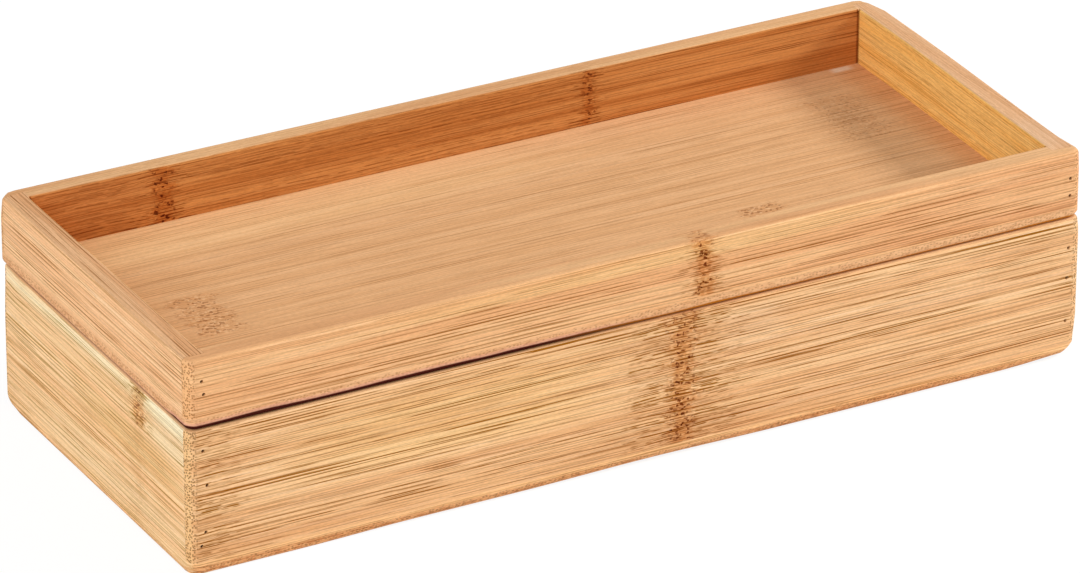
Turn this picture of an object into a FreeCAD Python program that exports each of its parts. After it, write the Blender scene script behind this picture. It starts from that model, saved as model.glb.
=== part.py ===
import FreeCAD, Part
import math
import os

# Two-tier bamboo box: a deep lower box, and a shallow tray that sits on it as its lift-off lid.
# Millimetres. X runs along the long side, Y goes to the back and Z is up.
# The origin is at the middle of the underside.

# Overall sizes
length = 300.0
width = 127.0
box_height = 46.7
tray_height = 22.5

# Boards
wall_thickness = 7.2
box_base_thickness = 4.0
tray_base_thickness = 4.0
corner_lap = 3.4  # what a long board keeps outside the end of a short one

# Sanded edges and vertices
corner_round = 3.0
box_foot_round = 2.4
box_rim_round = 1.2
box_foot_vertex_round = 8.0
box_rim_vertex_round = 4.5
tray_foot_round = 2.0
tray_rim_round = 1.5
tray_vertex_round = 5.0
inner_rim_round = 0.9
vertex_clearance = 0.05  # keeps a vertex rounding off the edges beside it
round_limit_share = 0.9  # of the rounding or the board that a smaller rounding is cut in

# Cleats under the tray, which drop inside the lower box and keep the tray in place
cleat_width = 9.0
cleat_drop = 5.0
cleat_play = 0.6
cleat_chamfer = 1.2

# Brads, sunk below the surface
brad_shank = 0.7
brad_head = 1.0
brad_head_thickness = 0.4
brad_point = 1.2
brad_tip = 0.2
brad_sink = 0.8
brad_clearance = 0.04
corner_brad_length = 15.0
base_brad_length = 12.0
base_brads_long_side = 5
base_brads_short_side = 2

# Corner brads, each as its place across the end of the short board and up the wall
box_front_left_shares = [(0.64, 0.84), (0.8, 0.575), (0.71, 0.223), (0.52, 0.123)]
box_front_right_shares = [(0.57, 0.775), (0.6, 0.54), (0.6, 0.2)]
box_back_shares = [(0.5, 0.8), (0.5, 0.5), (0.5, 0.2)]
tray_front_left_shares = [(0.64, 0.62), (0.72, 0.39)]
tray_front_right_shares = [(0.58, 0.52), (0.58, 0.21)]
tray_back_shares = [(0.5, 0.62), (0.5, 0.3)]

overrun = 1.0  # how far a cutting shape passes the surface that it cuts
same_place = 0.01  # two heights closer than this are one

tray_foot = box_height
tray_rim = box_height + tray_height
box_floor = box_base_thickness
tray_floor = tray_foot + tray_base_thickness
inner_length = length - wall_thickness - wall_thickness
inner_width = width - wall_thickness - wall_thickness
along_y = FreeCAD.Vector(0, 1, 0)
against_y = FreeCAD.Vector(0, -1, 0)
along_z = FreeCAD.Vector(0, 0, 1)


def block(x_size, y_size, z_low, z_high):
    """A plain block centred on the Z axis."""
    corner = FreeCAD.Vector(-x_size / 2, -y_size / 2, z_low)
    return Part.makeBox(x_size, y_size, z_high - z_low, corner)


def prism(points, z_low, z_high):
    """An outline in plan, pulled up from one height to another."""
    vectors = [FreeCAD.Vector(x, y, z_low) for x, y in points]
    outline = Part.makePolygon(vectors + vectors[:1])
    return Part.Face(outline).extrude(FreeCAD.Vector(0, 0, z_high - z_low))


def upright_edges(shape):
    return [edge for edge in shape.Edges if edge.BoundBox.ZLength > same_place]


def edges_at(shape, z):
    """The edges that lie flat at one height."""
    found = []
    for edge in shape.Edges:
        box = edge.BoundBox
        if abs(box.ZMin - z) < same_place and abs(box.ZMax - z) < same_place:
            found.append(edge)
    return found


def vertex_trimmer(z_low, z_high, size, sharpest):
    """A block with large roundings that only reaches the vertices of the block inside it."""
    pad = (size - sharpest) * (1 - math.sqrt(1 / 2)) + vertex_clearance
    trimmer = block(length + pad + pad, width + pad + pad, z_low - pad, z_high + pad)
    return trimmer.makeFillet(size, trimmer.Edges)


def sanded_block(z_low, z_high, foot_round, rim_round, foot_vertex, rim_vertex):
    """The outside of one tier, with its edges and its vertices sanded round."""
    largest = corner_round * round_limit_share
    foot = min(foot_round, largest)
    rim = min(rim_round, largest)
    tier = block(length, width, z_low, z_high)
    tier = tier.makeFillet(corner_round, upright_edges(tier))
    tier = tier.makeFillet(foot, edges_at(tier, z_low))
    tier = tier.makeFillet(rim, edges_at(tier, z_high))
    tier = tier.common(vertex_trimmer(z_low, z_high + rim_vertex + foot_vertex, foot_vertex, foot))
    return tier.common(vertex_trimmer(z_low - rim_vertex - foot_vertex, z_high, rim_vertex, rim))


def hollow_tier(tier, floor, rim):
    """The tier with its hollow, and with the inner edge of its rim eased."""
    tier = tier.cut(block(inner_length, inner_width, floor, rim + overrun))
    inner_edges = []
    for edge in edges_at(tier, rim):
        box = edge.BoundBox
        inside_x = max(abs(box.XMin), abs(box.XMax)) < inner_length / 2 + same_place
        inside_y = max(abs(box.YMin), abs(box.YMax)) < inner_width / 2 + same_place
        if inside_x and inside_y:
            inner_edges.append(edge)
    return tier.makeFillet(min(inner_rim_round, wall_thickness / 2 * round_limit_share), inner_edges)


def long_board(side, z_low, z_high):
    """A front or back board. Its ends are rebated to lap over the short boards."""
    outer = side * width / 2
    lap = outer - side * corner_lap
    inner = outer - side * wall_thickness
    end = length / 2
    shoulder = inner_length / 2
    outline = [
        (-end, outer), (end, outer), (end, lap), (shoulder, lap),
        (shoulder, inner), (-shoulder, inner), (-shoulder, lap), (-end, lap),
    ]
    return prism(outline, z_low, z_high)


def short_board(side, z_low, z_high):
    """A left or right board, which runs between the laps of the long boards."""
    outer = side * length / 2
    inner = side * inner_length / 2
    end = width / 2 - corner_lap
    return prism([(outer, -end), (outer, end), (inner, end), (inner, -end)], z_low, z_high)


def tier_boards(name, tier, low, floor, rim):
    """The five boards of one tier, all cut from the same sanded shape."""
    raw = {
        "front_board": long_board(-1, floor, rim),
        "back_board": long_board(1, floor, rim),
        "left_board": short_board(-1, floor, rim),
        "right_board": short_board(1, floor, rim),
        "base_board": block(length, width, low, floor),
    }
    return {name + "_" + board: tier.common(shape) for board, shape in raw.items()}


def brad(place, direction, brad_length):
    """A headed pin. The place is on the surface, straight above the sunk head."""
    start = place + direction * brad_sink
    head = Part.makeCylinder(brad_head / 2, brad_head_thickness, start, direction)
    straight = brad_length - brad_point
    shank = Part.makeCylinder(brad_shank / 2, straight, start, direction)
    point_start = start + direction * straight
    point = Part.makeCone(brad_shank / 2, brad_tip / 2, brad_point, point_start, direction)
    return head.fuse([shank, point]).removeSplitter()


def brad_hole(place, direction, brad_length):
    """The hole that a brad leaves, open to the surface above its head."""
    mouth = place - direction * overrun
    wide = overrun + brad_sink + brad_head_thickness + brad_clearance
    deep = overrun + brad_sink + brad_length + brad_clearance
    head = Part.makeCylinder(brad_head / 2 + brad_clearance, wide, mouth, direction)
    shank = Part.makeCylinder(brad_shank / 2 + brad_clearance, deep, mouth, direction)
    return head.fuse(shank)


def corner_places(side, end, shares, floor, rim):
    """Brad places at one corner, on the outer face of a long board."""
    places = []
    for across_share, height_share in shares:
        x = end * (length / 2 - wall_thickness * across_share)
        z = floor + (rim - floor) * height_share
        places.append(FreeCAD.Vector(x, side * width / 2, z))
    return places


def base_places(z):
    """Brad places under a base, along the middle of each wall."""
    places = []
    x_line = length / 2 - wall_thickness / 2
    y_line = width / 2 - wall_thickness / 2
    for index in range(base_brads_long_side):
        x = inner_length * ((index + 1 / 2) / base_brads_long_side - 1 / 2)
        places.append(FreeCAD.Vector(x, -y_line, z))
        places.append(FreeCAD.Vector(x, y_line, z))
    for index in range(base_brads_short_side):
        y = inner_width * ((index + 1 / 2) / base_brads_short_side - 1 / 2)
        places.append(FreeCAD.Vector(-x_line, y, z))
        places.append(FreeCAD.Vector(x_line, y, z))
    return places


def pin_together(boards, places, direction, brad_length):
    """Cuts the holes in the boards that the brads pass through, and gives the brads."""
    holes = [brad_hole(place, direction, brad_length) for place in places]
    for name, board in boards.items():
        crossing = [hole for hole in holes if hole.BoundBox.intersect(board.BoundBox)]
        if crossing:
            boards[name] = board.cut(crossing)
    return [brad(place, direction, brad_length) for place in places]


def cleat(x_size, y_size, x_middle, y_middle):
    """A strip under the tray, with its lower edges chamfered to find the box's mouth."""
    strip = block(x_size, y_size, tray_foot - cleat_drop, tray_foot)
    chamfer = min(cleat_chamfer, cleat_drop * round_limit_share)
    strip = strip.makeChamfer(chamfer, edges_at(strip, tray_foot - cleat_drop))
    strip.translate(FreeCAD.Vector(x_middle, y_middle, 0))
    return strip


def tray_cleats():
    outer_x = inner_length / 2 - cleat_play
    outer_y = inner_width / 2 - cleat_play
    short_length = outer_y + outer_y - cleat_width - cleat_width
    middle_x = outer_x - cleat_width / 2
    middle_y = outer_y - cleat_width / 2
    return {
        "tray_front_cleat": cleat(outer_x + outer_x, cleat_width, 0, -middle_y),
        "tray_back_cleat": cleat(outer_x + outer_x, cleat_width, 0, middle_y),
        "tray_left_cleat": cleat(cleat_width, short_length, -middle_x, 0),
        "tray_right_cleat": cleat(cleat_width, short_length, middle_x, 0),
    }


def build_tier(name, tier, low, floor, rim, front_left_shares, front_right_shares, back_shares):
    """One tier: its boards with their holes, the corner brads and the base brads."""
    boards = tier_boards(name, tier, low, floor, rim)
    front_places = corner_places(-1, -1, front_left_shares, floor, rim)
    front_places += corner_places(-1, 1, front_right_shares, floor, rim)
    back_places = corner_places(1, -1, back_shares, floor, rim)
    back_places += corner_places(1, 1, back_shares, floor, rim)
    front_brads = pin_together(boards, front_places, along_y, corner_brad_length)
    back_brads = pin_together(boards, back_places, against_y, corner_brad_length)
    base_brads = pin_together(boards, base_places(low), along_z, base_brad_length)
    boards[name + "_front_brads"] = Part.makeCompound(front_brads)
    boards[name + "_back_brads"] = Part.makeCompound(back_brads)
    boards[name + "_base_brads"] = Part.makeCompound(base_brads)
    return boards


# Lower box
box_tier = sanded_block(0, box_height, box_foot_round, box_rim_round,
                        box_foot_vertex_round, box_rim_vertex_round)
box_tier = hollow_tier(box_tier, box_floor, box_height)
pieces = build_tier("box", box_tier, 0, box_floor, box_height,
                    box_front_left_shares, box_front_right_shares, box_back_shares)

# Tray
tray_tier = sanded_block(tray_foot, tray_rim, tray_foot_round, tray_rim_round,
                         tray_vertex_round, tray_vertex_round)
tray_tier = hollow_tier(tray_tier, tray_floor, tray_rim)
pieces.update(build_tier("tray", tray_tier, tray_foot, tray_floor, tray_rim,
                         tray_front_left_shares, tray_front_right_shares, tray_back_shares))
pieces.update(tray_cleats())

os.makedirs("parts", exist_ok=True)
for node, shape in pieces.items():
    print(node, len(shape.Solids), round(shape.Volume), shape.isValid())
    shape.exportStep(os.path.join("parts", node + ".step"))
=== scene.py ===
import bmesh
import bpy
import math
from mathutils import Matrix, Vector


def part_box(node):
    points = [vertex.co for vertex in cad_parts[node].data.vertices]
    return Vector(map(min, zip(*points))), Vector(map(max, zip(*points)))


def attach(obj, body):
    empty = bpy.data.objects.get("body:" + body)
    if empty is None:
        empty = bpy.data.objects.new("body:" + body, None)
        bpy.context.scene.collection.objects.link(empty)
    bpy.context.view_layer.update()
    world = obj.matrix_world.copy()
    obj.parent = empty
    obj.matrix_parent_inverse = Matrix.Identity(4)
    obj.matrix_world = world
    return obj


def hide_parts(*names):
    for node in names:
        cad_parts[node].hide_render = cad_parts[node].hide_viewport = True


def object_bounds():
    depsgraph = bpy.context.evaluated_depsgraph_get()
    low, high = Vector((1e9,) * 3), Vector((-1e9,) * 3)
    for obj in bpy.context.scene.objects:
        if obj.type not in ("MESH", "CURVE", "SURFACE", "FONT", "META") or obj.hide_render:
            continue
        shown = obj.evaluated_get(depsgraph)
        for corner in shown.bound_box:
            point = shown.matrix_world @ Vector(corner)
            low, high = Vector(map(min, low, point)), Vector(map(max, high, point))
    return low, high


# Two-tier bamboo box with its lift-off tray. The scene is in metres, in the frame's axes:
# X along the front, Y to the back, Z up. The values below and the places inside the
# materials are in millimetres, where nothing else is said.
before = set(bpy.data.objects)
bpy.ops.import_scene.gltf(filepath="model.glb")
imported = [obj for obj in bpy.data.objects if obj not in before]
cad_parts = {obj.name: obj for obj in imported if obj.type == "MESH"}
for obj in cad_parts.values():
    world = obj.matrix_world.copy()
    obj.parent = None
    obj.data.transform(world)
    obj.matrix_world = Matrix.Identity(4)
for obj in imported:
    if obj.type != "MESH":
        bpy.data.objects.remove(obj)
cad_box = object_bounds()

MM = 1000.0  # millimetres in a metre
FOOT_ROUND = 2.4  # how far the lower box's foot is rounded
LAP = 3.4  # how far a long board covers a short one's end

# What the frame says about the boards
low, high = cad_box
half_length = (high.x - low.x) / 2 * MM
half_width = (high.y - low.y) / 2 * MM
wall = (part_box("tray_left_board")[1].x - low.x) * MM
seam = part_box("tray_base_board")[0].z * MM
side_end = half_width - LAP

# Ways in which a face can look
TO_LEFT, TO_RIGHT = (-1, 0, 0), (1, 0, 0)
TO_FRONT, TO_BACK = (0, -1, 0), (0, 1, 0)
UP = (0, 0, 1)

# From which turn a face starts to count as looking some way, and from which it fully does,
# as the cosine of the angle between the two
END_TURN = (0.5, 0.8)
SIDE_TURN = (0.6, 0.8)
INNER_TURN = (0.35, 0.75)
RIM_TURN = (0.55, 0.92)
FLAT_TURN = (0.66, 0.76)
EDGE_TURN = (0.55, 0.85)

# Kinds of fibre lines: the length over which they sway, how sharp they are, and their
# layers, each with the space between its lines, the length over which they come and go,
# their thickness and how dark they are
FIBRES = (170.0, 0.48, (
    (1.8, 48.0, 0.36, 1.0),
    (1.2, 34.0, 0.31, 0.9),
    (0.8, 22.0, 0.27, 0.65),
))
DASHES = (26.0, 0.3, (
    (1.0, 7.0, 0.42, 1.2),
    (0.74, 5.0, 0.36, 1.0),
))
GLEAMS = (170.0, 0.2, (
    (1.9, 60.0, 0.70, 1.0),
    (1.2, 30.0, 0.50, 0.8),
))

# Noises over a board: their size along the fibres and across, their detail and roughness
WOBBLE = ((7.0, 2.6), 3.0, 0.6)
TWIST = ((1.7, 1.7), 2.0, 0.5)
HEAVY = ((45.0, 3.6), 2.0, 0.5)
FINE = ((9.0, 0.35), 2.0, 0.7)
DRIFTS = ((160.0, 4.5), 1.0, 0.5)
SPECKS = ((1.5, 0.32), 1.0, 0.5)

SWAY = 1.6  # how far fibres wander sideways
ON_TOP = 300.0  # added to places on flat faces, to tell them from heights
MANY = 900.0  # sets the lines far apart in the noise by which they come and go
PATCH_CURLS = 2.0  # how much stronger a patch's curls are than its ground
MOST_PATCH_CURLS = 0.6  # how strong a patch's curls can get
CURL_STRENGTH = 1.6  # how much stronger the pale curls of a joint are than the dark ones
GLEAM_SHARE = 0.6  # how strong the pale lines are against the dark ones
DOT_COVER = 0.85  # how fully the dots of cut fibres cover the wood between them
BUMP_STRENGTH = 0.35
BUMP_DEPTH = 0.00006  # metres

# Tints, which multiply the wood's own colour; some of them paint light and shade
BROWN = (0.35, 0.20, 0.02)
OLIVE = (0.38, 0.27, 0.03)
ORANGE = (0.38, 0.23, 0.08)
GLEAM_TINT = (1.03, 1.11, 1.30)
JOINT_TINT = (0.83, 0.64, 0.46)
MARK_TINT = (0.28, 0.12, 0.02)
CURL_TINT = (1.16, 1.34, 1.55)
GLUE_AND_SHADE_TINT = (0.50, 0.38, 0.28)
PALE_JOINT = (1.04, 1.10, 1.22)
DARK_JOINT = (0.84, 0.76, 0.68)
RED = (1.0, 0.90, 0.80)
PALE = (1.0, 1.07, 1.18)
GREENISH = (0.98, 1.14, 1.30)
PAINTED_HIGHLIGHT = (1.03, 1.23, 1.42)
YELLOW = (1.0, 1.03, 0.90)
WARM = (0.91, 0.85, 0.80)
PINK = (0.965, 0.915, 0.90)
DARK = (0.86, 0.78, 0.76)
SHADED = (0.94, 0.85, 0.77)
PAINTED_LIGHT = (1.09, 1.17, 1.18)
CHIP = (1.15, 1.70, 2.70)
TANNED = (0.90, 0.86, 0.74)

# Colours as they look on a screen, 0 to 255: the ground and the dots of cut ends, then the
# painted shade of the gap between the tiers at the left, at the right and on the left face, and
# its upper border
END_LOW = ((240, 196, 136), (118, 80, 32))
END_HIGH = ((238, 184, 128), (152, 98, 50))
SEAM_SHADE_DARK = (58, 2, 2)
SEAM_SHADE_BROWN = (190, 114, 32)
SEAM_SHADE_PALE = (186, 146, 98)
SEAM_PINK = (222, 154, 138)

# Tones of a face: the pale and the deep colour on a screen, the tint of its streaks and
# their strength
PLAIN = ((250, 198, 140), (243, 184, 124), BROWN, 1.0)
BOX_FRONT = ((250, 203, 150), (239, 185, 131), BROWN, 1.25)
TRAY_FRONT = ((245, 193, 139), (238, 178, 124), BROWN, 0.85)
FRONT_RIM = ((226, 177, 127), (217, 162, 113), BROWN, 0.32)
BOX_SIDE = ((254, 212, 159), (249, 199, 144), OLIVE, 1.12)
TRAY_SIDE = ((252, 205, 154), (246, 192, 140), BROWN, 0.92)
LEFT_RIM = ((226, 177, 131), (217, 162, 114), BROWN, 0.8)
RIGHT_RIM = ((228, 180, 136), (220, 168, 122), BROWN, 0.33)
INSIDE = ((214, 144, 80), (198, 124, 62), ORANGE, 0.88)
# The side boards' inner faces: their own saturated orange, brightened further as painted light
# from the left.
INSIDE_WITH_PAINTED_LIGHT = ((255, 206, 124), (255, 196, 106), ORANGE, 0.62)
BASE_TOP = ((226, 176, 128), (221, 169, 120), BROWN, 0.52)


class Shader:
    """Short ways to put nodes together in one material."""

    def __init__(self, name):
        self.material = bpy.data.materials.new(name)
        self.material.use_nodes = True
        self.tree = self.material.node_tree
        self.tree.nodes.clear()

    def node(self, kind, **settings):
        made = self.tree.nodes.new(kind)
        for key, value in settings.items():
            setattr(made, key, value)
        return made

    def feed(self, socket, value):
        if isinstance(value, bpy.types.NodeSocket):
            self.tree.links.new(value, socket)
        elif isinstance(value, tuple) and len(value) == 3 and socket.type == "RGBA":
            socket.default_value = (*value, 1.0)
        else:
            socket.default_value = value

    def math(self, operation, a, b=0.0, c=0.0, clamp=False):
        made = self.node("ShaderNodeMath", operation=operation, use_clamp=clamp)
        for socket, value in zip(made.inputs, (a, b, c)):
            self.feed(socket, value)
        return made.outputs[0]

    def add(self, a, b, clamp=False):
        return self.math("ADD", a, b, clamp=clamp)

    def times(self, a, b, clamp=False):
        return self.math("MULTIPLY", a, b, clamp=clamp)

    def larger(self, a, b):
        return self.math("MAXIMUM", a, b)

    def size(self, value):
        """The value without its sign."""
        return self.math("ABSOLUTE", value)

    def away(self, value, centre):
        """How far the value is from a centre, to either side."""
        return self.size(self.add(value, -centre))

    def about_zero(self, noise):
        """A noise, whose middle is 0.5, with its middle at 0."""
        return self.add(noise, -0.5)

    def step(self, value, start, end, low=0.0, high=1.0):
        """Goes smoothly from low to high as the value goes from start to end."""
        made = self.node("ShaderNodeMapRange", interpolation_type="SMOOTHSTEP")
        for key, number in (("Value", value), ("From Min", start), ("From Max", end),
                            ("To Min", low), ("To Max", high)):
            self.feed(made.inputs[key], number)
        return made.outputs[0]

    def mix(self, factor, a, b, blend="MIX"):
        made = self.node("ShaderNodeMix", data_type="RGBA", blend_type=blend)
        for socket, value in zip((made.inputs[0], *made.inputs[6:8]), (factor, a, b)):
            self.feed(socket, value)
        return made.outputs[2]

    def stain(self, factor, base, tint):
        """Multiplies the base colour by a tint, as far as the factor says."""
        return self.mix(factor, base, self.mix(1.0, base, tint, "MULTIPLY"))

    def mix_number(self, factor, a, b):
        made = self.node("ShaderNodeMix", data_type="FLOAT")
        for socket, value in zip((made.inputs[0], *made.inputs[2:4]), (factor, a, b)):
            self.feed(socket, value)
        return made.outputs[0]

    def join(self, x, y, z=0.0):
        made = self.node("ShaderNodeCombineXYZ")
        for socket, value in zip(made.inputs, (x, y, z)):
            self.feed(socket, value)
        return made.outputs[0]

    def split(self, vector):
        made = self.node("ShaderNodeSeparateXYZ")
        self.feed(made.inputs[0], vector)
        return made.outputs[0], made.outputs[1], made.outputs[2]

    def scaled(self, vector, sizes, seed):
        """The place measured in cells of the given sizes, with a start of its own."""
        made = self.node("ShaderNodeVectorMath", operation="MULTIPLY_ADD")
        self.feed(made.inputs[0], vector)
        made.inputs[1].default_value = [1 / size for size in sizes]
        made.inputs[2].default_value = (seed, seed * 0.37 + 3.0, seed * 0.61 + 7.0)
        return made.outputs[0]

    def noise(self, vector, sizes, seed=0.0, detail=1.0, roughness=0.5, dimensions="3D"):
        made = self.node("ShaderNodeTexNoise", noise_dimensions=dimensions)
        for key, value in (("Vector", self.scaled(vector, sizes, seed)), ("Scale", 1.0),
                           ("Detail", detail), ("Roughness", roughness)):
            self.feed(made.inputs[key], value)
        return made.outputs[0]

    def flat_noise(self, a, b, sizes, seed=0.0, detail=1.0, roughness=0.5):
        """Noise over two numbers, about 0.5 in the middle."""
        return self.noise(self.join(a, b), (*sizes, 1.0), seed, detail, roughness, "2D")

    def dots(self, a, b, sizes, seed=0.0):
        """Distance to the nearest of many points scattered over two numbers, and its chance."""
        made = self.node("ShaderNodeTexVoronoi", voronoi_dimensions="2D")
        self.feed(made.inputs["Vector"], self.scaled(self.join(a, b), (*sizes, 1.0), seed))
        made.inputs["Scale"].default_value = 1.0
        return made.outputs["Distance"], self.split(made.outputs["Color"])[0]

    def rows(self, value, spacing, seed=0.0):
        """Distance to the nearest of many lines set side by side, and two chances of its own."""
        made = self.node("ShaderNodeTexVoronoi", voronoi_dimensions="1D")
        self.feed(made.inputs["W"], self.math("MULTIPLY_ADD", value, 1 / spacing, seed))
        made.inputs["Scale"].default_value = 1.0
        made.inputs["Randomness"].default_value = 0.75
        chances = self.split(made.outputs["Color"])
        return self.times(made.outputs["Distance"], spacing), chances[0], chances[1]

    def principled(self, base, roughness, specular, metallic=0.0):
        made = self.node("ShaderNodeBsdfPrincipled")
        for key, value in (("Base Color", base), ("Roughness", roughness),
                           ("Specular IOR Level", specular), ("Metallic", metallic)):
            self.feed(made.inputs[key], value)
        return made

    def output(self, surface):
        """The finished material, which shows this surface."""
        self.feed(self.node("ShaderNodeOutputMaterial").inputs[0], surface)
        return self.material


def colour(screen):
    """A colour as it looks on a screen, 0 to 255, in the renderer's own numbers."""
    out = []
    for value in screen:
        share = value / 255
        out.append(share / 12.92 if share <= 0.04045 else ((share + 0.055) / 1.055) ** 2.4)
    return tuple(out)


def way_faced(s, normal, way, turn):
    """Goes from 0 to 1 as the surface turns to face a direction."""
    towards = s.node("ShaderNodeVectorMath", operation="DOT_PRODUCT")
    s.feed(towards.inputs[0], normal)
    towards.inputs[1].default_value = way
    return s.step(towards.outputs["Value"], *turn)


def either_way(s, normal, way, turn):
    """The same as way_faced, for a direction and its opposite."""
    opposite = tuple(-part for part in way)
    return s.larger(way_faced(s, normal, way, turn), way_faced(s, normal, opposite, turn))


class Place:
    """Where a point of a board lies, and which way its surface looks.

    along is its place along the fibres. side is its height, or on a flat face its place
    across the fibres plus ON_TOP. On a base with edges_across, the lines of the short edges
    run along those edges.
    """

    def __init__(self, s, grain, edges_across):
        source = s.node("ShaderNodeTexCoord")
        in_mm = s.node("ShaderNodeVectorMath", operation="SCALE")
        s.feed(in_mm.inputs[0], source.outputs["Object"])
        in_mm.inputs["Scale"].default_value = MM
        self.x, self.y, self.z = s.split(in_mm.outputs[0])
        self.normal = source.outputs["Normal"]
        self.end_on = either_way(s, self.normal, TO_RIGHT, END_TURN)
        self.upward = way_faced(s, self.normal, UP, RIM_TURN)
        self.along, across = (self.x, self.y) if grain == "X" else (self.y, self.x)
        if edges_across:
            self.along = s.mix_number(self.end_on, self.x, self.y)
        flat = either_way(s, self.normal, UP, FLAT_TURN)
        self.side = s.mix_number(flat, self.z, s.add(across, ON_TOP))


def noise_over(s, place, kind, seed):
    """Noise over a board, of one of the kinds listed above."""
    sizes, detail, roughness = kind
    return s.flat_noise(place.along, place.side, sizes, seed, detail, roughness)


def fibre_lines(s, place, seed, kind):
    """Bundles of fibres side by side, each coming and going along the board."""
    bend, sharp, layers = kind
    streak = 0.0
    for number, (spacing, run, thickness, darkness) in enumerate(layers):
        start = seed + 17.3 * number
        sway = s.flat_noise(place.along, place.side, (bend, 0.3 * bend), start, detail=0.0)
        bent = s.add(place.side, s.times(s.about_zero(sway), SWAY))
        distance, chance, other = s.rows(bent, spacing, start)
        coming = s.flat_noise(place.along, s.times(chance, MANY), (run, 1.0), start)
        weight = s.times(s.step(coming, 0.33, 0.53), s.step(other, 0.0, 1.0, 0.35, 1.0))
        reach = s.times(s.add(0.4, s.times(weight, 0.6)), thickness * 0.75)
        line = s.step(distance, reach, s.times(reach, sharp))
        streak = s.larger(streak, s.times(s.times(line, weight), darkness))
    return streak


def cane_joints(s, place, seed, nodes, patches):
    """How much of a joint of the cane a place is, how much it curls there, and how near the
    disturbed fibres beside it."""
    joint = 0.0
    beside = 0.0
    if not nodes and not patches:
        return joint, joint, beside
    wobble = s.about_zero(noise_over(s, place, WOBBLE, seed * 3.0))
    for centre, half, reach, strength, dashed in nodes:
        far = s.away(place.along, centre)
        ragged = s.add(far, s.times(wobble, half * 4.0))
        joint = s.add(joint, s.times(s.step(ragged, half * 2.0, half * 0.2), strength))
        ragged = s.add(far, s.times(wobble, reach * 1.4))
        beside = s.add(beside, s.times(s.step(ragged, reach, reach * 0.5), dashed))
    curly = joint
    for centre, middle, half, half_across, strength in patches:
        far = s.add(s.away(place.along, centre), s.times(wobble, half * 1.6))
        off_middle = s.away(place.side, middle)
        inside = s.step(off_middle, half_across * 1.08, half_across * 0.94)
        middle_part = s.times(s.step(far, half * 1.2, half * 0.5), inside)
        outer_part = s.times(s.step(far, half * 2.4, half), inside)
        joint = s.add(joint, s.times(middle_part, strength))
        curl = min(MOST_PATCH_CURLS, strength * PATCH_CURLS)
        curly = s.add(curly, s.times(middle_part, curl))
        beside = s.add(beside, s.times(outer_part, strength))
    return joint, curly, beside


def joint_marks(s, place, seed):
    """Small curls where fibres turn across a joint."""
    twist = s.times(s.about_zero(noise_over(s, place, TWIST, seed)), 2.6)
    around = s.add(place.along, twist)
    over = s.add(place.side, s.times(twist, -0.6))
    distance, chance = s.dots(around, over, (1.9, 1.1), seed)
    return s.times(s.step(distance, 0.42, 0.22), s.step(chance, 0.25, 0.65))


def dark_lines(s, place, seed, beside, jointed):
    """All the dark lines of a board, which turn into dashes beside its joints."""
    heavy = s.step(noise_over(s, place, HEAVY, seed * 1.7), 0.38, 0.64)
    long_lines = fibre_lines(s, place, seed, FIBRES)
    long_lines = s.times(long_lines, s.add(0.62, s.times(heavy, 0.5)))
    if not jointed:
        return long_lines
    short_lines = fibre_lines(s, place, seed + 5.1, DASHES)
    short_lines = s.larger(short_lines, s.times(long_lines, 0.4))
    return s.mix_number(s.times(beside, 0.9, clamp=True), long_lines, short_lines)


def face_tones(s, outer, looks):
    """The tones of the outer faces, changed where a face looks another way."""
    pale, deep, tint, strength = outer
    pale, deep = colour(pale), colour(deep)
    for look, tones in looks:
        if tones:
            pale = s.mix(look, pale, colour(tones[0]))
            deep = s.mix(look, deep, colour(tones[1]))
            tint = s.mix(look, tint, tones[2])
            strength = s.mix_number(look, strength, tones[3])
    return pale, deep, tint, strength


def tinted(s, place, base, zones):
    """Broad parts of a board that are paler, darker, redder or greener than the rest; some are
    painted light and shade.
    """
    for centre, height, half, half_height, tint, strength in zones:
        far = s.times(s.away(place.along, centre), 1 / half)
        up = s.times(s.away(place.side, height), 1 / half_height)
        near = s.times(s.step(far, 1.0, 0.3), s.step(up, 1.0, 0.3))
        base = s.stain(s.times(near, strength), base, tint)
    return base


def ground(s, place, seed, fine, pale, deep, zones):
    """The wood between the lines, with its slow drifts of tone and its fine grain."""
    drift = s.step(noise_over(s, place, DRIFTS, seed * 0.9), 0.34, 0.66)
    speck = noise_over(s, place, SPECKS, seed + 6.0)
    base = tinted(s, place, s.mix(drift, pale, deep), zones)
    shade = s.times(s.step(fine, 0.25, 0.75, 0.93, 1.06), s.step(speck, 0.28, 0.72, 0.94, 1.05))
    return s.mix(1.0, base, s.join(shade, shade, shade), "MULTIPLY")


def end_grain(s, place, base, fine, seed, tones):
    """The cut ends of the fibres: close dots, which run out into dashes past the corner."""
    pale, dark = tones
    around = s.math("SUBTRACT", s.size(place.y), s.size(place.x))
    distance, chance = s.dots(around, place.z, (0.95, 0.72), seed)
    dots = s.times(s.step(distance, 0.48, 0.26), s.step(chance, 0.05, 0.5))
    near = s.add(s.size(place.x), s.times(s.about_zero(fine), 3.0))
    near = s.times(s.step(near, half_length - 3.3, half_length - 1.7), 0.9)
    near = s.times(near, s.step(place.upward, 0.6, 0.1))
    shown = s.times(dots, s.larger(place.end_on, near))
    cut = s.mix(s.times(place.end_on, 0.5), base, colour(pale))
    return s.mix(s.times(shown, DOT_COVER), cut, colour(dark))


def varnished(s, base, streak, fine, marks, gloss):
    """The finished bamboo, whose lines and marks are a little sunk and less smooth."""
    relief = s.add(s.times(streak, -0.7), s.times(fine, 0.3))
    bump = s.node("ShaderNodeBump")
    bump.inputs["Strength"].default_value = BUMP_STRENGTH
    bump.inputs["Distance"].default_value = BUMP_DEPTH
    s.feed(bump.inputs["Height"], s.add(relief, s.times(marks, -1.0)))
    surface = s.principled(base, s.step(s.add(streak, fine), 0.2, 1.6, 0.52, 0.7), gloss)
    s.feed(surface.inputs["Normal"], bump.outputs[0])
    return s.output(surface.outputs[0])


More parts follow.
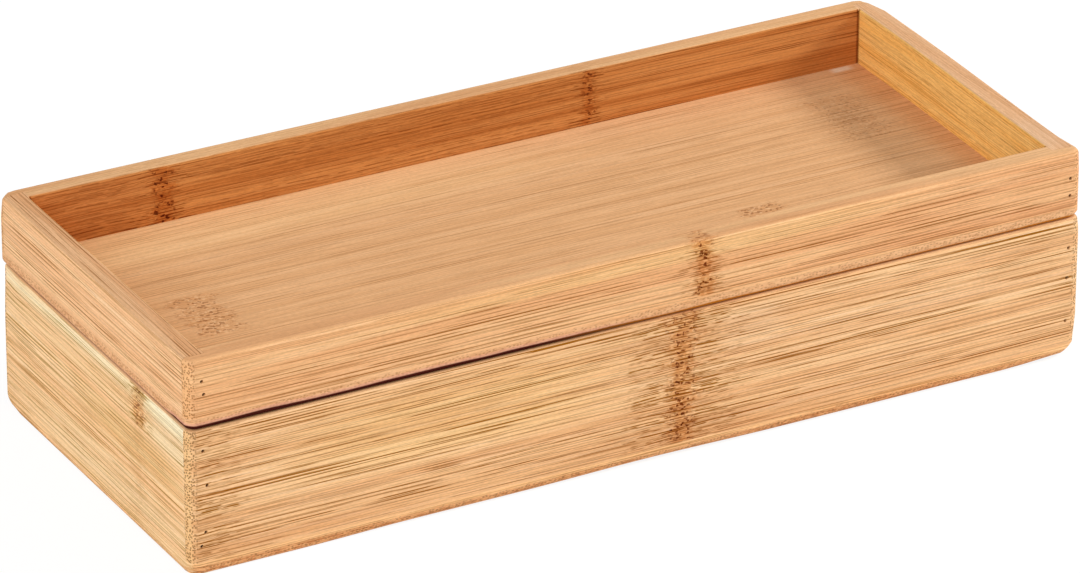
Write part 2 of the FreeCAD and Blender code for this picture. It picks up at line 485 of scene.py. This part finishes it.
def bamboo(name, grain, seed, outer, rim=None, inner=None, inner_way=None, nodes=(),
           patches=(), zones=(), ends=None, tips=None, edges=None, rim_joint=0.6,
           gloss=0.07, finish=None):
    """One board's bamboo. Its fibres run along the grain, X or Y.

    outer, rim and inner are the tones of the faces that look outwards, up and into the
    hollow, which is inner_way. edges are the tones of a base's short edges. nodes are
    joints of the cane, each (place along the grain, half width, reach of the disturbed
    fibres, strength of the joint, strength of the fibres). patches are joints that cross
    only one strip: (place along, height, half width, half height, strength). zones are
    (place along, height, half length, half height, tint, strength). Heights on a flat face
    are the place across it plus ON_TOP. ends is the tint of the joint between a board's
    ends and the boards that lap over them. tips are the ground and the dots of a board's
    own ends, where they show. rim_joint is how far joints show on top. finish adds what
    only one board has.
    """
    s = Shader(name)
    place = Place(s, grain, edges_across=bool(edges))
    inward = way_faced(s, place.normal, inner_way, INNER_TURN) if inner else 0.0
    jointed = bool(nodes or patches)
    joint, curly, beside = cane_joints(s, place, seed, nodes, patches)
    if nodes:
        on_rim = s.mix_number(place.upward, 1.0, rim_joint)
        joint, curly = s.times(joint, on_rim), s.times(curly, on_rim)
    streak = dark_lines(s, place, seed, beside, jointed)
    gleam = fibre_lines(s, place, seed + 9.4, GLEAMS)
    fine = noise_over(s, place, FINE, seed + 2.0)
    looks = ((place.upward, rim), (place.end_on, edges), (inward, inner))
    pale, deep, tint, strength = face_tones(s, outer, looks)

    base = ground(s, place, seed, fine, pale, deep, zones)
    base = s.stain(s.times(gleam, s.times(strength, GLEAM_SHARE, clamp=True)), base, GLEAM_TINT)
    marks = 0.0
    if jointed:
        base = s.stain(s.add(joint, 0.0, clamp=True), base, JOINT_TINT)
        curls = s.times(joint_marks(s, place, seed + 4.0), curly)
        base = s.stain(s.times(curls, CURL_STRENGTH, clamp=True), base, CURL_TINT)
        marks = s.times(joint_marks(s, place, seed), curly, clamp=True)
    if tips:
        blunt = s.step(s.size(place.x), half_length - 3.4, half_length - 1.2, 1.0, 0.3)
        strength = s.times(strength, blunt)
    base = s.stain(s.times(streak, strength, clamp=True), base, tint)
    if jointed:
        base = s.stain(marks, base, MARK_TINT)
    if tips:
        base = end_grain(s, place, base, fine, seed, tips)
    if ends:
        base = s.stain(s.step(s.size(place.along), side_end - 0.5, side_end), base, ends)
    if inner:
        # The inner corners' dark line: a glue line with painted shade of the gap between the
        # boards.
        corner = (half_length if grain == "X" else half_width) - wall
        glue_and_shade = s.step(s.size(place.along), corner - 0.9, corner - 0.3)
        base = s.stain(s.times(glue_and_shade, inward), base, GLUE_AND_SHADE_TINT)
    if finish:
        base = finish(s, place, base)
    return varnished(s, base, streak, fine, marks, gloss)


def base_edge(s, place, base, heights, covers, pale, deep, dot):
    """The sawn edge of a base, with short crossing fibres that show as dots. heights and
    covers are for the long edges and the short ones. The upper border is ragged, and the
    upper and under faces keep the base colour."""
    along = s.add(place.x, place.y)
    distance, chance = s.dots(along, place.z, (1.1, 0.6), seed=3.0)
    dots = s.times(s.step(distance, 0.5, 0.25), s.step(chance, 0.15, 0.55))
    blotch = s.flat_noise(along, place.z, (4.0, 1.0), seed=1.0, detail=3.0, roughness=0.65)
    edge = s.mix(s.step(blotch, 0.42, 0.60), colour(pale), colour(deep))
    edge = s.mix(s.times(dots, DOT_COVER), edge, colour(dot))
    top = s.mix_number(place.end_on, *heights)
    above = s.add(place.z, s.times(top, -1.0))
    ragged = s.add(above, s.times(s.about_zero(blotch), 2.6))
    upright = s.math("SUBTRACT", 1.0, either_way(s, place.normal, UP, EDGE_TURN))
    cover = s.times(s.step(ragged, 0.0, -1.0), upright)
    return s.mix(s.times(cover, s.mix_number(place.end_on, *covers)), base, edge)


def box_foot(s, place, base):
    """The lower base's edge, browner than the walls above it."""
    return base_edge(s, place, base, heights=(3.2, 2.0), covers=(0.62, 0.35),
                     pale=(228, 164, 110), deep=(184, 106, 58), dot=(112, 60, 24))


def tray_foot(s, place, base):
    """The tray base's edge, with a dark line of painted shade of the gap between the tiers at
    its foot.
    The line is thinner and browner at the right. It fades on the left face, where the tray
    lies close on the box."""
    edge = base_edge(s, place, base, heights=(seam + 3.9, seam + 4.4), covers=(0.7, 0.85),
                     pale=(238, 186, 138), deep=(224, 166, 120), dot=(180, 124, 82))
    uneven = s.flat_noise(place.x, place.y, (30.0, 30.0), seed=4.0, detail=2.0)
    depth = s.add(place.z, s.times(s.about_zero(uneven), -1.0))
    to_right = s.step(place.x, -40.0, 20.0)
    off_corner = s.step(place.y, -55.0, -46.0)
    on_left = s.times(way_faced(s, place.normal, TO_LEFT, SIDE_TURN), off_corner)
    top = s.mix_number(to_right, seam + 2.0, seam + 1.3)
    top = s.mix_number(on_left, top, seam + 0.7)
    border = s.step(depth, s.add(top, 0.9), s.add(top, 0.2))
    border = s.times(border, s.step(to_right, 1.0, 0.0))
    edge = s.mix(s.times(border, 0.5), edge, colour(SEAM_PINK))
    # The dark line is painted shade of the gap between the tiers, fading to pale on the left
    # face.
    line = s.step(depth, top, s.add(top, -0.45))
    gap_shade = s.mix(to_right, colour(SEAM_SHADE_DARK), colour(SEAM_SHADE_BROWN))
    gap_shade = s.mix(on_left, gap_shade, colour(SEAM_SHADE_PALE))
    return s.mix(s.times(line, s.mix_number(on_left, 0.97, 0.2)), edge, gap_shade)


def steel():
    """Dull wire, its dark brown partly the painted shade of its hole."""
    s = Shader("brad_steel")
    source = s.node("ShaderNodeTexCoord")
    cell = 0.4 / MM
    mottle = s.noise(source.outputs["Object"], (cell, cell, cell), detail=3.0)
    tone = s.mix(mottle, colour((50, 27, 14)), colour((84, 54, 34)))
    roughness = s.step(mottle, 0.3, 0.7, 0.45, 0.7)
    return s.output(s.principled(tone, roughness, specular=0.1, metallic=0.15).outputs[0])


def ramp(value, start, end):
    """Goes smoothly from 0 to 1 as the value goes from start to end."""
    share = min(1.0, max(0.0, (value - start) / (end - start)))
    return share * share * (3 - 2 * share)


def bump_at(value, centre, half):
    """1 at the centre, which falls smoothly to 0 at either side."""
    return ramp(abs(value - centre), half, 0.0)


def tighter_foot(height, round_now, round_wanted):
    """How far out a place on a foot's round goes, so that the round gets smaller."""
    out = 0.0
    for radius, sign in ((round_now, 1.0), (round_wanted, -1.0)):
        if height < radius:
            out += sign * (radius - math.sqrt(max(0.0, radius ** 2 - (radius - height) ** 2)))
    return out


def worn_box(p):
    """How far sanding and drying have moved a place of the lower box."""
    # The back left corner is drawn in, most of all near the top
    corner = ramp(p.x, -144.5, -149.0) * ramp(p.y, 52.0, 63.0)
    x = (0.2 + 0.5 * ramp(p.z, 28.0, 46.0)) * corner
    y = -0.4 * ramp(p.y, 58.0, 63.0) * ramp(p.x, -138.0, -149.0)
    # The right wall bulges halfway up and draws in at its foot
    bulge = 0.6 * ramp(p.z, 6.0, 14.0) * ramp(p.z, 47.5, 41.0)
    x += ramp(p.x, 144.5, 149.0) * (bulge - 0.4 * ramp(p.z, 9.0, 0.0))
    # The foot's round is half as large on the left and at the left end of the front
    tight = tighter_foot(p.z, FOOT_ROUND, 1.2)
    x -= tight * ramp(p.x, -141.6, -147.6) * ramp(p.y, 62.0, 52.0)
    y -= tight * ramp(p.y, -56.0, -61.0) * ramp(p.x, -76.0, -114.0)
    # The front's lower edge rises a little in the middle and more at its right end
    bow = 0.5 * bump_at(p.x, 2.0, 44.0) + 1.0 * ramp(p.x, 124.0, 150.0)
    z = ramp(p.z, 7.0, 0.0) * bow * ramp(p.y, -40.0, -62.0)
    return Vector((x, y, z))


def worn_tray(p):
    """How far they have moved a place of the tray."""
    # The back corners are sanded down and in
    top = ramp(p.z, 62.0, 68.6)
    right = ramp(p.x, 145.5, 149.0)
    right_corner = right * ramp(p.y, 53.0, 63.0) * top
    left_corner = ramp(p.x, -145.0, -149.5) * ramp(p.y, 56.0, 63.0) * top
    x = 0.6 * left_corner - 0.8 * right_corner
    z = -0.5 * left_corner - 0.9 * right_corner
    # The right wall leans in and is thicker at its near end
    near = ramp(p.y, 30.0, -56.0) * (1.0 - 0.6 * ramp(p.y, -54.0, -63.0))
    inside = bump_at(p.x, 142.8, 2.4) * ramp(p.y, 40.0, -58.0)
    x += right * top * (0.3 - 1.5 * near) - 1.8 * inside
    return Vector((x, 0.0, z))


# Where the finer copies of the boards are cut across X, Y and Z, so that they can bend
CUTS = (
    [-149, -147, -144.5, *range(-140, 141, 8), 141.6, 144.5, 147, 149],
    [*range(-60, 61, 8)],
    [4, 7, 10, 14, 21, 28, 34, 40, 43, 54, 58, 62, 65],
)
SAME_POINT = 2e-6  # metres within which points of a mesh are one
SHARP_EDGE = 40  # degrees from which an edge stays sharp


def cut_finer(bm, axis, places):
    """Cuts a mesh with planes across one axis."""
    for place in places:
        middle, way = Vector((0, 0, 0)), Vector((0, 0, 0))
        middle[axis], way[axis] = place / MM, 1
        everything = bm.verts[:] + bm.edges[:] + bm.faces[:]
        bmesh.ops.bisect_plane(bm, geom=everything, plane_co=middle, plane_no=way,
                               dist=SAME_POINT)


def worn_piece(node, body, worn):
    """A finer copy of a CAD piece that stands for it, with the small unevenness of real wood."""
    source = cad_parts[node]
    mesh = source.data.copy()
    piece = bpy.data.objects.new(node + "_worn", mesh)
    bpy.context.scene.collection.objects.link(piece)
    bm = bmesh.new()
    bm.from_mesh(mesh)
    bmesh.ops.remove_doubles(bm, verts=bm.verts[:], dist=SAME_POINT)
    for axis, places in enumerate(CUTS):
        cut_finer(bm, axis, places)
    for vert in bm.verts:
        vert.co += worn(vert.co * MM) / MM
    bm.to_mesh(mesh)
    bm.free()
    # The CAD mesh's own normals don't fit the new shape
    if "custom_normal" in mesh.attributes:
        mesh.attributes.remove(mesh.attributes["custom_normal"])
    mesh.shade_smooth()
    mesh.set_sharp_from_angle(angle=math.radians(SHARP_EDGE))
    flatter = piece.modifiers.new("flat_faces", "WEIGHTED_NORMAL")
    flatter.keep_sharp = True
    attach(piece, body)
    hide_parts(node)
    if "base" in node:
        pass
    elif "left" in node or "right" in node:
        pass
    else:
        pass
    return piece


worn_boards = {}
for side in ("front", "back", "left", "right", "base"):
    worn_boards[f"box_{side}_board"] = worn_piece(f"box_{side}_board", "lower_box", worn_box)
    worn_boards[f"tray_{side}_board"] = worn_piece(f"tray_{side}_board", "tray", worn_tray)


def dress(node, material):
    """Gives a piece its finish, a board by its finer copy."""
    mesh = worn_boards.get(node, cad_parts[node]).data
    mesh.materials.clear()
    mesh.materials.append(material)


def from_left(place):
    """A place along the front, counted from the left end, in the frame's axes."""
    return place - half_length


# The boards. Their joints and zones lie where the photo shows them, but for those of the
# lower box's back, right side and base, which are made up.
dress("box_front_board", bamboo(
    "bamboo_box_front", "X", 2.3, BOX_FRONT, FRONT_RIM, INSIDE, TO_BACK, tips=END_LOW,
    nodes=[(from_left(162.0), 3.6, 21.0, 1.0, 1.0), (from_left(-2.0), 4.0, 21.0, 0.1, 0.85)],
    zones=[(from_left(8.0), 24.0, 18.0, 26.0, RED, 0.2),
           (from_left(85.0), 32.0, 70.0, 16.0, YELLOW, 0.7),
           (from_left(140.0), 5.0, 220.0, 14.0, WARM, 1.0),
           (from_left(186.0), 38.0, 16.0, 9.0, PALE, 0.8),
           (from_left(232.0), 31.0, 46.0, 5.0, PALE, 0.4)]))
dress("box_back_board", bamboo(
    "bamboo_box_back", "X", 14.9, PLAIN, FRONT_RIM, INSIDE, TO_FRONT, tips=END_LOW,
    nodes=[(from_left(92.0), 3.2, 18.0, 1.0, 1.0), (from_left(251.0), 3.0, 14.0, 0.8, 0.8)]))
dress("box_left_board", bamboo(
    "bamboo_box_left", "Y", 31.4, BOX_SIDE, LEFT_RIM, INSIDE_WITH_PAINTED_LIGHT, TO_RIGHT,
    ends=PALE_JOINT, nodes=[(-30.0, 1.5, 7.0, 0.12, 0.3)],
    patches=[(-31.0, 41.0, 4.5, 6.5, 0.75)],
    # A paler band along the top of the left face is a painted highlight of light from the left.
    zones=[(0.0, 46.7, 130.0, 7.0, PAINTED_HIGHLIGHT, 1.0),
           (-54.0, 42.0, 28.0, 13.0, GREENISH, 0.9),
           (-28.0, 27.0, 46.0, 7.0, TANNED, 1.0),
           (-10.0, 9.0, 70.0, 8.0, GREENISH, 0.4)]))
dress("box_right_board", bamboo(
    "bamboo_box_right", "Y", 47.2, BOX_SIDE, RIGHT_RIM, INSIDE_WITH_PAINTED_LIGHT, TO_LEFT,
    ends=PALE_JOINT, nodes=[(22.0, 3.0, 16.0, 0.7, 0.7)]))
dress("box_base_board", bamboo(
    "bamboo_box_base", "X", 58.6, PLAIN, BASE_TOP, edges=BOX_SIDE, finish=box_foot,
    patches=[(-80.0, ON_TOP + 20.0, 8.0, 13.0, 0.6), (60.0, ON_TOP - 20.0, 8.0, 13.0, 0.6)]))
dress("tray_front_board", bamboo(
    "bamboo_tray_front", "X", 71.5, TRAY_FRONT, FRONT_RIM, INSIDE, TO_BACK, tips=END_HIGH,
    nodes=[(from_left(169.0), 2.6, 9.0, 1.0, 1.0)],
    # The yellow band under the tray front's rounded top edge is edge wear with a painted
    # highlight.
    zones=[(from_left(150.0), 66.0, 120.0, 4.0, YELLOW, 0.6),
           (from_left(262.0), 58.0, 60.0, 14.0, PINK, 1.0),
           (from_left(288.0), 50.5, 14.0, 2.0, DARK, 0.7)]))
dress("tray_back_board", bamboo(
    "bamboo_tray_back", "X", 83.1, PLAIN, FRONT_RIM, INSIDE, TO_FRONT, tips=END_HIGH,
    rim_joint=0.1,
    nodes=[(from_left(51.0), 2.8, 10.0, 1.0, 1.0), (from_left(196.0), 1.9, 7.0, 0.9, 0.9),
           (from_left(24.0), 1.0, 24.0, 0.0, 0.75), (from_left(125.0), 1.0, 90.0, 0.0, 0.6)],
    zones=[(from_left(16.0), 58.0, 46.0, 26.0, DARK, 0.8),
           (from_left(294.0), 58.0, 34.0, 26.0, DARK, 0.4)]))
dress("tray_left_board", bamboo(
    "bamboo_tray_left", "Y", 95.8, TRAY_SIDE, LEFT_RIM, INSIDE_WITH_PAINTED_LIGHT, TO_RIGHT,
    ends=DARK_JOINT))
dress("tray_right_board", bamboo(
    "bamboo_tray_right", "Y", 107.4, TRAY_SIDE, RIGHT_RIM, INSIDE_WITH_PAINTED_LIGHT, TO_LEFT,
    ends=DARK_JOINT, rim_joint=0.1, nodes=[(0.0, 1.0, 62.0, 0.0, 0.55)],
    zones=[(-48.0, ON_TOP + 146.0, 16.0, 9.0, PALE, 0.8)]))
dress("tray_base_board", bamboo(
    "bamboo_tray_base", "X", 119.3, TRAY_FRONT, BASE_TOP, edges=TRAY_SIDE, gloss=0.0,
    finish=tray_foot,
    patches=[(from_left(35.0), ON_TOP - 5.5, 8.0, 13.0, 0.32),
             (from_left(270.0), ON_TOP + 23.0, 11.0, 16.0, 0.15),
             (from_left(213.0), ON_TOP - 21.0, 8.0, 3.0, 0.3)],
    # Painted light at the back left of the floor, and painted shade along its right and left
    # walls.
    zones=[(from_left(70.0), ON_TOP + 48.0, 150.0, 22.0, PAINTED_LIGHT, 1.0),
           (from_left(292.0), ON_TOP, 13.0, 120.0, SHADED, 1.0),
           (from_left(7.0), ON_TOP, 13.0, 120.0, SHADED, 1.0),
           (from_left(286.0), ON_TOP + 54.6, 5.0, 2.2, CHIP, 0.9)]))

# The cleats and the brads
for number, side in enumerate(("front", "back", "left", "right")):
    grain = "X" if side in ("front", "back") else "Y"
    cleat_seed = 131.0 + 9.7 * number
    dress(f"tray_{side}_cleat", bamboo(f"bamboo_{side}_cleat", grain, cleat_seed, PLAIN))
steel_material = steel()
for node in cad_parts:
    if node.endswith("_brads"):
        dress(node, steel_material)

# Floor, lamps and camera
FLOOR_HALF = 6.0  # metres from the middle to the floor's edge
FLOOR_GREY = (0.86, 0.86, 0.86)
FLOOR_WHITE = 1.075  # how bright the floor's own white is
FLOOR_WHITE_SHARE = 0.8  # how much of it is seen; the rest takes the shadow


def white_to_camera(s, surface, strength, share):
    """The surface, seen straight or in a reflection mostly as plain white."""
    path = s.node("ShaderNodeLightPath")
    direct = s.larger(path.outputs["Is Camera Ray"], path.outputs["Is Glossy Ray"])
    direct = s.larger(direct, path.outputs["Is Transmission Ray"])
    white = s.node("ShaderNodeEmission")
    white.inputs["Strength"].default_value = strength
    blend = s.node("ShaderNodeMixShader")
    for socket, value in zip(blend.inputs, (s.times(direct, share), surface, white.outputs[0])):
        s.feed(socket, value)
    return blend.outputs[0]


def make_floor():
    half = FLOOR_HALF
    mesh = bpy.data.meshes.new("floor")
    corners = [(-half, -half, 0), (half, -half, 0), (half, half, 0), (-half, half, 0)]
    mesh.from_pydata(corners, [], [(0, 1, 2, 3)])
    floor = bpy.data.objects.new("floor", mesh)
    bpy.context.scene.collection.objects.link(floor)
    s = Shader("floor_paint")
    matt = s.node("ShaderNodeBsdfDiffuse")
    s.feed(matt.inputs["Color"], FLOOR_GREY)
    white = white_to_camera(s, matt.outputs[0], FLOOR_WHITE, FLOOR_WHITE_SHARE)
    mesh.materials.append(s.output(white))


def make_world(strength):
    """Even light from all round, seen straight or in a reflection as plain white."""
    world = bpy.data.worlds.new("studio")
    world.use_nodes = True
    tree = world.node_tree
    tree.nodes.clear()
    path = tree.nodes.new("ShaderNodeLightPath")
    direct = tree.nodes.new("ShaderNodeMath")
    direct.operation = "MAXIMUM"
    tree.links.new(path.outputs["Is Camera Ray"], direct.inputs[0])
    tree.links.new(path.outputs["Is Glossy Ray"], direct.inputs[1])
    blend = tree.nodes.new("ShaderNodeMixShader")
    tree.links.new(direct.outputs[0], blend.inputs[0])
    for socket, brightness in zip(blend.inputs[1:], (strength, 1.0)):
        background = tree.nodes.new("ShaderNodeBackground")
        background.inputs["Strength"].default_value = brightness
        tree.links.new(background.outputs[0], socket)
    out = tree.nodes.new("ShaderNodeOutputWorld")
    tree.links.new(blend.outputs[0], out.inputs[0])
    bpy.context.scene.world = world


def direction(azimuth, elevation):
    """The way out from the object, in degrees. Azimuth 0 is in front, 90 at the right."""
    a, e = math.radians(azimuth), math.radians(elevation)
    return Vector((math.sin(a) * math.cos(e), -math.cos(a) * math.cos(e), math.sin(e)))


def make_lamp(name, azimuth, elevation, distance, size, power):
    """A square soft box that faces the object."""
    data = bpy.data.lights.new(name, "AREA")
    data.size = size
    data.energy = power
    lamp = bpy.data.objects.new(name, data)
    way = direction(azimuth, elevation)
    lamp.location = way * distance
    lamp.rotation_euler = (-way).to_track_quat("-Z", "Y").to_euler()
    bpy.context.scene.collection.objects.link(lamp)


def make_camera(azimuth, elevation, roll, distance, target, lens):
    """The photograph's view, with its long lens."""
    back = direction(azimuth, elevation)
    data = bpy.data.cameras.new("camera")
    data.sensor_width = 36.0
    data.lens = lens
    camera = bpy.data.objects.new("camera", data)
    turn = (-back).to_track_quat("-Z", "Y").to_matrix()
    turn = turn @ Matrix.Rotation(math.radians(roll), 3, "Z")
    place = Matrix.Translation(Vector(target) + back * distance)
    camera.matrix_world = place @ turn.to_4x4()
    bpy.context.scene.collection.objects.link(camera)
    bpy.context.scene.camera = camera


make_floor()
make_world(strength=0.60)
make_lamp("right_key", azimuth=78.0, elevation=29.0, distance=1.6, size=0.30, power=16.0)
make_lamp("left_fill", azimuth=-58.0, elevation=36.0, distance=2.2, size=1.5, power=26.0)
make_camera(azimuth=-28.7025, elevation=26.3281, roll=0.1884, distance=2.3052,
            target=(-0.00164, -0.00092, 0.03139), lens=255.82)
bpy.context.scene.view_settings.view_transform = "Standard"
